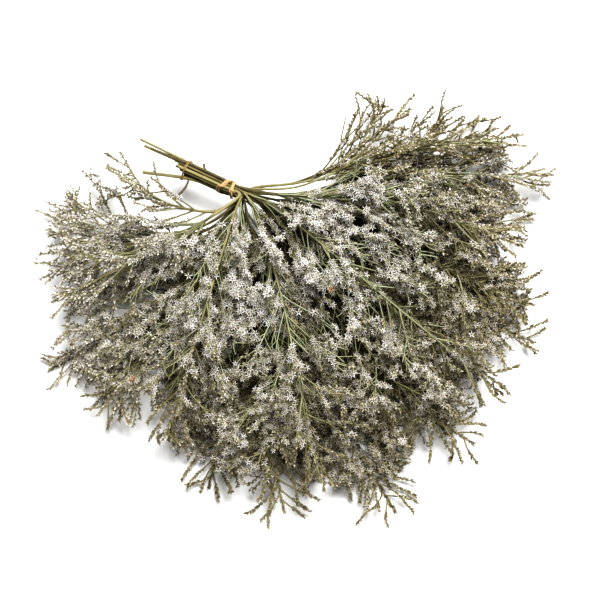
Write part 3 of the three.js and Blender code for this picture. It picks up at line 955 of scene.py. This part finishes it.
def is_hollow(points, own):
    """Whether points lie in one of the hollows between the sprays, above its floor."""
    waves, phases = hollows
    depth = np.sin(points[:, :2] @ waves + phases).sum(axis=1)
    rim = rim_share(points, own)
    is_inside = (rim > HOLLOW_RIM[0]) & (rim < HOLLOW_RIM[1]) & (points[:, 2] > HOLLOW_FLOOR)
    return is_inside & (depth > HOLLOW_LEVEL)


def rim_share(points, own):
    """How far out points are: 0 where a spray leaves the tie and 1 at its tip."""
    fan = fan_of(own)
    return np.linalg.norm(points - fan[0], axis=-1) / np.linalg.norm(fan[-1] - fan[0])


def light_at(points, own):
    """How much light points of a spray get: little low inside the bunch, more above and outside.
    It is painted into their tints as painted shade and light.
    """
    spray = SPRAYS[own]
    height = (points[..., 2] - SHADE_HEIGHT) / (FULL_LIGHT_HEIGHT - SHADE_HEIGHT)
    from_side = rim_share(points, own) ** 3 * RIM_LIGHT
    from_side = from_side + AIRY_LIGHT * spray.airy * min(1, LIGHT_PER_BLOOM * spray.bloom)
    return np.clip(np.maximum(height, 0) + from_side, 0, 1)


def youth_of(own):
    """How young a spray is: 1 where it is well in flower, and less where it isn't."""
    return min(1, YOUTH_PER_BLOOM * SPRAYS[own].bloom)


def crevice_shade_at(points, own):
    """How deep points lie between stems, for the painted shade there: 0 in the open, and 1 where
    another stem touches.
    """
    others = [distance_to(points, line) for i, line in enumerate(stems) if i != own]
    return np.clip(1 - (np.min(others, axis=0) - STEM_RADIUS) / CREVICE, 0, 1)


def stem_radii(line, chance):
    """A stem's radii: even through the bundle, thinner to the tip, and swollen at each knuckle."""
    along = distances_along(line)
    share = np.clip((along / along[-1] - STEM_TAPER_FROM) / (1 - STEM_TAPER_FROM), 0, 1)
    radii = mix(STEM_RADIUS * chance.uniform(*STEM_THICKNESS), STEM_TIP_RADIUS, share)
    knuckle = chance.uniform(*KNUCKLE_SPACING)
    while knuckle < along[-1]:
        radii = radii * (1 + KNUCKLE_SWELL * np.exp(-(((along - knuckle) / KNUCKLE_WIDTH) ** 2)))
        knuckle += chance.uniform(*KNUCKLE_SPACING)
    return radii


def add_stem(piece, line, radii, own, chance):
    """A ribbed stem with streaks along it, with painted shade where it lies against others, cut at
    its start.
    """
    rings = len(line)
    corners = tube_corners(line, radii, STEM_SIDES).reshape(-1, 3)
    # Painted shade: the tint darkens where another stem lies close.
    shade = crevice_shade_at(corners, own).reshape(rings, STEM_SIDES) * CREVICE_SHADE
    streaks = chance.normal(0, STEM_STREAK, STEM_SIDES)
    knots = np.arange(0, rings + PATCH_RINGS, PATCH_RINGS)
    patches = np.interp(np.arange(rings), knots, chance.normal(0, STEM_PATCHES, len(knots)))
    # Painted shade: the lower layers of stems get darker tints.
    base = STEM_TINTS[own % LAYERS] + chance.normal(0, STEM_TINT_RANGE)
    tint = np.clip(base + streaks + patches[:, None] - shade, 0, 1)
    reach = np.clip(((line - TIE) @ ALONG) / GREEN_FROM_TIE, 0, 1)
    add_tube(piece, line, radii, STEM_SIDES, STEM_RIBS, tint=tint, reach=reach)
    add_cut_face(piece, line, radii[0], STEM_SIDES, unit(line[0] - line[1]))


def add_snags(piece, own, chance):
    """The cut side shoots on a spray's bare end."""
    for spray, share, radius, run in SNAGS:
        if spray == own:
            root = point_along(stems[own][:FAN_START], share)[0]
            bends = [root + ALONG * x + ACROSS * y + UP * z for x, y, z in run]
            snag = smoothed(np.array([root, *bends]), SNAG_SMOOTHING)[::-1]
            radii = np.linspace(radius, radius * SNAG_TAPER, len(snag))
            add_stem(piece, snag, radii, own, chance)


def kept_near(twigs, lines, room):
    """The twigs that end within a distance of any of the lines."""
    tips = np.array([twig[-1] for twig in twigs])
    nearest = np.min([distance_to(tips, line) for line in lines], axis=0)
    return [twig for twig, distance in zip(twigs, nearest) if distance < room]


def tip_of(own):
    """The end of a stem's line, drawn out evenly."""
    return evenly(stems[own][-TIP_POINTS:], TIP_EVEN_POINTS)


def twig_levels(own, branches, chance):
    """A spray's finer twigs: near the tie, along the stem, on all of its branches, and on those."""
    fan, layer, airy, bare = fan_of(own), own % LAYERS, SPRAYS[own].airy, SPRAYS[own].bare
    main = [fan, *branches]
    side = twigs_from([fan], SIDE_TWIGS, bare * BARE_SHARE, chance, own, SIDE_SINK[layer])
    side = kept_near(side, main, mix(*SIDE_ROOM, airy))
    foot = fan[: round(mix(*FOOT_POINTS, airy))]
    near = twigs_from([foot], NEAR_TWIGS, mix(*NEAR_BARE, airy), chance, own)
    near = kept_near(near, main, NEAR_ROOM)
    parents = [*branches, *side, tip_of(own)]
    bare = SECOND_BARE[layer] + AIRY_BARE * airy
    second = twigs_from(parents, SECOND_TWIGS, bare, chance, own, SECOND_SINK[layer])
    second = [twig for twig in second if rim_share(twig[0], own) < SECOND_TWIGS_UP_TO]
    second = kept_near(second, main, mix(*SECOND_ROOM, airy))
    third = twigs_from(second, THIRD_TWIGS, mix(*THIRD_BARE, youth_of(own)), chance, own)
    third = [twig for twig in third if not is_hollow(twig[:1], own)[0]]
    return near, side, second, third


def add_twig_level(piece, lines, rule, own, chance):
    """One level of twigs: green and light where they are young, straw at the rim, and painted shade
    low inside the bunch.
    """
    youth, tips = youth_of(own), np.stack(lines)[:, -1]
    # Painted shade and light: twigs are tinted by the light that reaches their tips.
    tints = light_at(tips, own) * TWIG_LIGHT + chance.normal(0, TWIG_TINT_RANGE, len(lines))
    greenness = 1 - STRAW_SHARE * smooth(sloped(rim_share(tips, own), *STRAW_SLOPE))
    greenness *= min(1, OLD_STEM_GREEN + SPRAYS[own].bloom)
    tints = np.clip(tints, 0, 1) * mix(STRAW_SHADE, 1, greenness) * mix(OLD_STEM_SHADE, 1, youth)
    radii = np.array(rule.radii) * mix(OLD_STEM_GIRTH, 1, youth)
    add_twigs(piece, lines, radii, tints, greenness)


def flowering_lines(own, branches, levels):
    """The lines that spikelets sit along: the finest twigs, and the close-set spikes at the ends."""
    near, side, second, third = levels
    start = mix(OLD_SPIKELETS_FROM, SPIKELETS_FROM, youth_of(own))
    outer = [evenly(line, OUTER_POINTS, start) for line in second]
    spikes = [evenly(line, SPIKE_POINTS, SPIKE_FROM) for line in [*branches, *near, *side]]
    return [*outer, *third], [*spikes, tip_of(own)[1:]]


def open_share(places, own):
    """The share of spikelets that are open: most in the light, and few near the tie and the rim."""
    rim = rim_share(places, own)
    share = OPEN_SHARE * SPRAYS[own].bloom * np.clip((OPEN_UP_TO - rim) * OPEN_FALL, 0, 1)
    share = share * (1 - RIM_CLOSING * rim**2) * sloped(rim, *OPEN_SLOPE)
    return share * smooth(sloped(light_at(places, own), *OPEN_LIGHT_SLOPE))


def spikelet_tints(places, is_open, own, chance):
    """Tints of spikelets: pale open florets and darker buds, darker still as painted shade out of
    the light.
    """
    spray, count = SPRAYS[own], len(places)
    rim, light = rim_share(places, own), light_at(places, own)
    fading = RIM_FADING * rim**2 + AIRY_FADING * spray.airy * spray.bloom
    bud_tints = chance.uniform(*BUD_TINTS, count) - AIRY_BUD_LIGHT * spray.airy * youth_of(own)
    # Painted shade: the less light reaches them, the nearer their tints go to the shaded ones.
    tints = mix(chance.uniform(*SHADED_BUDS, count), bud_tints, light)
    open_tints = mix(SHADED_FLORET, chance.uniform(*FLORET_TINTS, count) + fading, light)
    tints[is_open] = open_tints[is_open]
    if own % RUST_SPRAYS == 0:
        top = places[(places[:, 2] + RUST_OUTWARD * rim).argmax()]
        is_rusty = np.linalg.norm(places - top, axis=1) < RUST_REACH
        tints[is_rusty & (chance.uniform(size=count) < RUSTY_SHARE)] = 1
    return tints


def add_spikelets(piece, lines, spikes, own, chance):
    """Open florets and closed buds along a spray's twigs, except in the hollows."""
    found = [spikelet_places(lines, SPIKELET_SPACING, chance)]
    found.append(spikelet_places(spikes, SPIKE_SPACING, chance))
    found = np.concatenate(found, axis=1)
    places, outward, forward = found[:, ~is_hollow(found[0], own)]
    is_open = chance.uniform(size=len(places)) < open_share(places, own)
    sizes = chance.uniform(*SPIKELET_SIZES, len(places))
    tints = spikelet_tints(places, is_open, own, chance)
    facing = unit(outward + forward * FLORET_FORWARD + UP * FLORET_UPWARD)
    pressed = unit(outward + forward * chance.uniform(*BUD_FORWARD, (len(places), 1)))
    kinds = (floret_shape(), is_open, facing), (bud_shape(), ~is_open, pressed)
    for shape, chosen, axes in kinds:
        picked = (values[chosen] for values in (places, axes, sizes, tints))
        add_copies(piece, shape, *picked, chance)


def dress_spray(own):
    """One spray's stems and florets, as two pieces."""
    name = f"spray_{own + 1:02d}"
    chance = np.random.default_rng(SPRAY_SEED + own)
    wood, paper = Piece(), Piece()
    line = smoothed(stems[own], STEM_SMOOTHING)
    add_stem(wood, line, stem_radii(line, chance), own, chance)
    add_snags(wood, own, chance)
    branches = branches_of(own)
    for branch in branches:
        radii = np.linspace(*BRANCH_RADII, len(branch))
        # Painted shade and light: branches are tinted by the light that reaches them.
        tint = light_at(branch, own) * BRANCH_LIGHT
        add_tube(wood, branch, radii, BRANCH_SIDES, tint=tint, reach=BRANCH_GREEN)
    levels = twig_levels(own, branches, chance)
    for lines, rule in zip(levels, (NEAR_TWIGS, SIDE_TWIGS, SECOND_TWIGS, THIRD_TWIGS)):
        if lines:
            add_twig_level(wood, lines, rule, own, chance)
    add_spikelets(paper, *flowering_lines(own, branches, levels), own, chance)
    wood.built(name + "_stems", [stem_material, cut_material], "dried_spray", [name])
    paper.built(name + "_florets", [floret_material], "dried_floret", [name], is_smooth=False)


def crossings(distance):
    """Where the stems that are still there cross the bundle at a distance along it."""
    found = []
    for line in stems:
        reach = (line - TIE) @ ALONG
        if reach[0] < distance <= reach[FAN_START]:
            k = int(np.argmax(reach >= distance))
            share = (distance - reach[k - 1]) / (reach[k] - reach[k - 1])
            found.append(mix(line[k - 1], line[k], share))
    return np.array(found)


def on_strand(distance, angle, lift):
    """A point of a strand drawn tight round the stems."""
    toward = ACROSS * math.cos(angle) + UP * math.sin(angle)
    found = crossings(distance)
    outermost = found[(found @ toward).argmax()]
    return outermost + toward * (STEM_RADIUS + STEM_GAP + STRAND_THICKNESS / 2 + lift)


def frame_shift():
    """The way from this script's own place to the frame's, read from the wrap's box."""
    centre, slant, width, lift = WRAP_TURN
    corners = []
    for angle in even_turns(FRAME_STRAND_ROUND):
        for turn in even_turns(FRAME_STRAND_SIDES):
            distance = centre + math.cos(angle) * slant + math.sin(turn) * width / 2
            rise = lift + math.cos(turn) * STRAND_THICKNESS / 2
            corners.append(on_strand(distance, angle, rise))
    corners = np.array(corners)
    low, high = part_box("raffia_wrap")
    in_frame = (np.array(low) + np.array(high)) / 2 / MM
    way = in_frame - (corners.min(0) + corners.max(0)) / 2
    way[2] = 0
    return way


def add_ribbon(piece, line, half_width, tones, chance):
    """A flat, ridged strand along a line, wide along the bundle."""
    tangents = frames_along(line)[0]
    width_ways = unit(ALONG - tangents * (tangents @ ALONG)[:, None])
    outward = np.cross(tangents, width_ways)[:, None]
    width_ways, middle = width_ways[:, None], line[:, None]
    across = np.linspace(-1, 1, STRAND_RIDGES)
    relief = chance.uniform(-RIDGE_RELIEF, RIDGE_RELIEF, STRAND_RIDGES)
    relief = relief + STRAND_CROWN * (1 - across**2)
    waves = np.linspace(0, FLUTTER_WAVES * math.tau, len(line)) + chance.uniform(*FLUTTER_START)
    spread = (across * half_width) * (1 + FLUTTER * np.sin(waves))[:, None]
    top = middle + width_ways * spread[..., None] + outward * relief[:, None]
    under = middle + width_ways * spread[:, ::-1, None] - outward * STRAND_UNDERSIDE
    corners = np.concatenate([top, under], axis=1)
    tints = chance.uniform(*tones, STRAND_RIDGES)
    tint = np.tile(np.concatenate([tints, tints[::-1]]), len(line))
    round_strand = np.tile(np.concatenate([across, across[::-1] + 2]) * half_width, len(line))
    lengthwise = np.repeat(distances_along(line), 2 * STRAND_RIDGES) / GRAIN_STRETCH
    fibre = np.stack([round_strand, tint * GRAIN_SHIFT, lengthwise], axis=1)
    piece.add(corners, ring_faces(len(line), 2 * STRAND_RIDGES), tint=tint, fibre=fibre)


def turn_line(centre, slant, lift):
    """The middle line of one turn round the bundle, drawn smooth."""
    angles = even_turns(TURN_SAMPLES)
    points = np.array([on_strand(centre + math.cos(a) * slant, a, lift) for a in angles])
    for _ in range(TURN_SMOOTHING):
        points = (np.roll(points, 1, axis=0) + 2 * points + np.roll(points, -1, axis=0)) / 4
    return np.concatenate([points, points[:1]])


def add_rolled(piece, line, radii, tones, chance):
    """A rolled strand along a line, each of its sides in its own tint."""
    tint = chance.uniform(*tones, ROLLED_SIDES)[None]
    add_tube(piece, line, radii, ROLLED_SIDES, ROLLED_RIBS, tint=tint)


def add_knot(piece, tones, chance):
    """The knot of the tie, a strand that loops through itself, and its two short tails."""
    centre, slant, _, _ = TIE_TURNS[1]
    middle = centre + math.cos(KNOT_ANGLE) * slant
    place = on_strand(middle, KNOT_ANGLE, KNOT_RADIUS * KNOT_LIFT)
    outward = ACROSS * math.cos(KNOT_ANGLE) + UP * math.sin(KNOT_ANGLE)
    around = np.cross(outward, ALONG)
    t = np.linspace(0, math.tau, KNOT_POINTS)
    loop = [np.sin(t) + 2 * np.sin(2 * t), np.cos(t) - 2 * np.cos(2 * t), -np.sin(3 * t)]
    loop = np.stack(loop, axis=1) * (KNOT_RADIUS / 3)
    line = place + loop[:, :1] * ALONG + loop[:, 1:2] * around + loop[:, 2:] * outward
    add_rolled(piece, line, KNOT_STRAND, tones, chance)
    for x, y, z in KNOT_TAILS:
        sideways = ALONG * x + ACROSS * y
        bends = [place, place + sideways * TAIL_BEND + outward, place + sideways + UP * z]
        tail = smoothed(np.array(bends), TAIL_SMOOTHING)
        radii = np.linspace(KNOT_STRAND, KNOT_STRAND * TAIL_TAPER, len(tail))
        add_rolled(piece, tail, radii, tones, chance)


def dress_raffia(name, turns, tones, seed, is_knotted):
    """The strands of a raffia node as one piece, two side by side in each turn."""
    chance = np.random.default_rng(seed)
    piece = Piece()
    for centre, slant, width, lift in turns:
        for side in (-1, 1):
            drawn = slant + chance.normal(0, SLANT_WANDER)
            line = turn_line(centre + side * width / 4, drawn, lift)
            add_ribbon(piece, line, width / 4, tones, chance)
    if is_knotted:
        add_knot(piece, tones, chance)
    piece.built(name + "_strands", [raffia_material], "raffia", [name])


class Look:
    """A material, with short ways to add to its shader."""

    def __init__(self, name, roughness):
        self.material = bpy.data.materials.new(name)
        self.material.use_nodes = True
        self.link = self.material.node_tree.links.new
        self.shader = self.material.node_tree.nodes["Principled BSDF"].inputs
        self.shader["Roughness"].default_value = roughness

    def node(self, kind, inputs, **settings):
        """A shader node, with each input linked to an output or set to a value."""
        made = self.material.node_tree.nodes.new("ShaderNode" + kind)
        for key, value in settings.items():
            setattr(made, key, value)
        for key, value in inputs.items():
            if isinstance(value, bpy.types.NodeSocket):
                self.link(value, made.inputs[key])
            else:
                made.inputs[key].default_value = value
        return made

    def attribute(self, name, output="Fac"):
        """A value that each corner of the mesh carries."""
        return self.node("Attribute", {}, attribute_name=name).outputs[output]

    def object_place(self):
        """The place in the object's own coordinates."""
        return self.node("TexCoord", {}).outputs["Object"]

    def noise(self, place, scale, detail):
        """A noise pattern laid out by a place."""
        inputs = {"Vector": place, "Scale": scale, "Detail": detail}
        return self.node("TexNoise", inputs).outputs["Fac"]

    def weighed(self, first, second, weights):
        """The sum of two values, each times its weight."""
        part = self.node("Math", {0: first, 1: weights[0]}, operation="MULTIPLY")
        inputs = {0: second, 1: weights[1], 2: part.outputs[0]}
        return self.node("Math", inputs, operation="MULTIPLY_ADD").outputs[0]

    def ramp(self, level, stops):
        """The colour at a level between stops of place and colour."""
        made = self.node("ValToRGB", {"Fac": level})
        elements = made.color_ramp.elements
        while len(elements) < len(stops):
            elements.new(0.5)
        for element, (place, colour) in zip(elements, stops):
            element.position = place
            element.color = (*colour, 1)
        return made.outputs["Color"]

    def blend(self, amount, first, second):
        """A colour between two colours."""
        inputs = {0: amount, 6: first, 7: second}
        return self.node("Mix", inputs, data_type="RGBA").outputs[2]

    def finished(self, colour, height, strength, distance):
        """The material in a colour, with its surface raised and sunk by a height pattern."""
        bump = self.node("Bump", {"Height": height, "Strength": strength, "Distance": distance})
        self.link(colour, self.shader["Base Color"])
        self.link(bump.outputs["Normal"], self.shader["Normal"])
        return self.material


def dry_stem():
    """Dry stems: olive and khaki, grey-green further up, mottled and streaked lengthwise."""
    look = Look("dry_stem", roughness=0.75)
    mottle = look.noise(look.object_place(), scale=140.0, detail=4.0)
    streaks = look.noise(look.attribute("fibre", "Vector"), scale=2.2, detail=3.0)
    pattern = look.weighed(mottle, streaks, weights=(0.25, 0.25))
    level = look.weighed(pattern, look.attribute("tint"), weights=(1.0, 0.55))
    woody, green = look.ramp(level, WOODY_TONES), look.ramp(level, GREEN_TONES)
    colour = look.blend(look.attribute("reach"), woody, green)
    return look.finished(colour, streaks, strength=0.5, distance=0.0005)


def cut_pith():
    """Cut faces: a dark bark rim, straw wood and a pale pith, with fine pores."""
    look = Look("cut_pith", roughness=0.85)
    pores = look.noise(look.attribute("fibre", "Vector"), scale=5.0, detail=4.0)
    level = look.weighed(pores, look.attribute("reach"), weights=(0.3, 0.8))
    return look.finished(look.ramp(level, CUT_TONES), pores, strength=0.5, distance=0.0003)


def papery_floret():
    """Papery florets: off-white with a lilac grey tinge, green brown at the foot, a few rusty.
    The foot's dark colour is partly painted shade in the throat.
    """
    look = Look("papery_floret", roughness=0.7)
    tint = look.attribute("tint")
    specks = look.noise(look.object_place(), scale=900.0, detail=3.0)
    height = look.weighed(look.attribute("reach"), specks, weights=(1.0, 0.12))
    foot, lobes = look.ramp(tint, FOOT_TONES), look.ramp(tint, LOBE_TONES)
    colour = look.blend(look.ramp(height, LOBE_START), foot, lobes)
    return look.finished(colour, specks, strength=0.3, distance=0.0002)


def raffia_strand():
    """Raffia: tan, with long fine fibres and a faint sheen."""
    look = Look("raffia_strand", roughness=0.55)
    fibres = look.noise(look.attribute("fibre", "Vector"), scale=4.0, detail=4.0)
    level = look.weighed(fibres, look.attribute("tint"), weights=(0.4, 0.8))
    return look.finished(look.ramp(level, RAFFIA_TONES), fibres, strength=0.6, distance=0.0004)


def make_floor():
    """A pale floor, which isn't part of the bunch."""
    mesh = bpy.data.meshes.new("floor")
    corners = [(x * FLOOR_HALF, y * FLOOR_HALF, 0) for x, y in ((-1, -1), (1, -1), (1, 1), (-1, 1))]
    mesh.from_pydata(corners, [], [(0, 1, 2, 3)])
    look = Look("pale_floor", roughness=0.9)
    look.shader["Base Color"].default_value = (FLOOR_SHADE, FLOOR_SHADE, FLOOR_SHADE, 1)
    mesh.materials.append(look.material)
    floor = placed("floor", mesh)
    floor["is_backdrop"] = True


def make_lamp(name, place, size, power):
    """A large soft lamp that points at the bunch."""
    lamp = bpy.data.lights.new(name, "AREA")
    lamp.shape = "DISK"
    lamp.size = size
    lamp.energy = power
    holder = placed(name, lamp)
    holder.location = place
    x, y, z = place
    holder.rotation_euler = (math.atan2(math.hypot(x, y), z), 0, math.atan2(x, -y))


def make_camera():
    """A camera at the photograph's viewing angle and distance."""
    lens = bpy.data.cameras.new("camera")
    camera = placed("camera", lens)
    target = TIE + VIEW_CENTRE + shift
    back = np.array([0, -math.cos(CAMERA_ELEVATION), math.sin(CAMERA_ELEVATION)])
    camera.location = (target + back * CAMERA_DISTANCE) * MM
    camera.rotation_euler = (math.pi / 2 - CAMERA_ELEVATION, 0, 0)
    lens.sensor_width = SENSOR_WIDTH
    lens.lens = lens.sensor_width * CAMERA_DISTANCE / VIEW_WIDTH
    lens.clip_end = FARTHEST_SEEN
    bpy.context.scene.camera = camera


def make_world():
    """A weak white light from all round."""
    world = bpy.data.worlds.new("studio")
    world.use_nodes = True
    background = world.node_tree.nodes["Background"].inputs
    background["Color"].default_value = (1, 1, 1, 1)
    background["Strength"].default_value = WORLD_LIGHT
    bpy.context.scene.world = world


stems = parted_stems()
shift = frame_shift()
hollows = hollow_pattern()
stem_material = dry_stem()
cut_material = cut_pith()
floret_material = papery_floret()
raffia_material = raffia_strand()

for index in range(len(SPRAYS)):
    dress_spray(index)
dress_raffia("raffia_tie", TIE_TURNS, TIE_TONES, TIE_SEED, is_knotted=True)
dress_raffia("raffia_wrap", [WRAP_TURN], WRAP_TONES, WRAP_SEED, is_knotted=False)

bpy.context.scene.view_settings.view_transform = "Standard"
bpy.context.scene.view_settings.look = "High Contrast"
make_floor()
make_world()
for name, (place, size, power) in LAMPS.items():
    make_lamp(name, place, size, power)
make_camera()

boxes = {"cad": cad_box, "visual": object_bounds()}
{key: [list(corner) for corner in box] for key, box in boxes.items()}
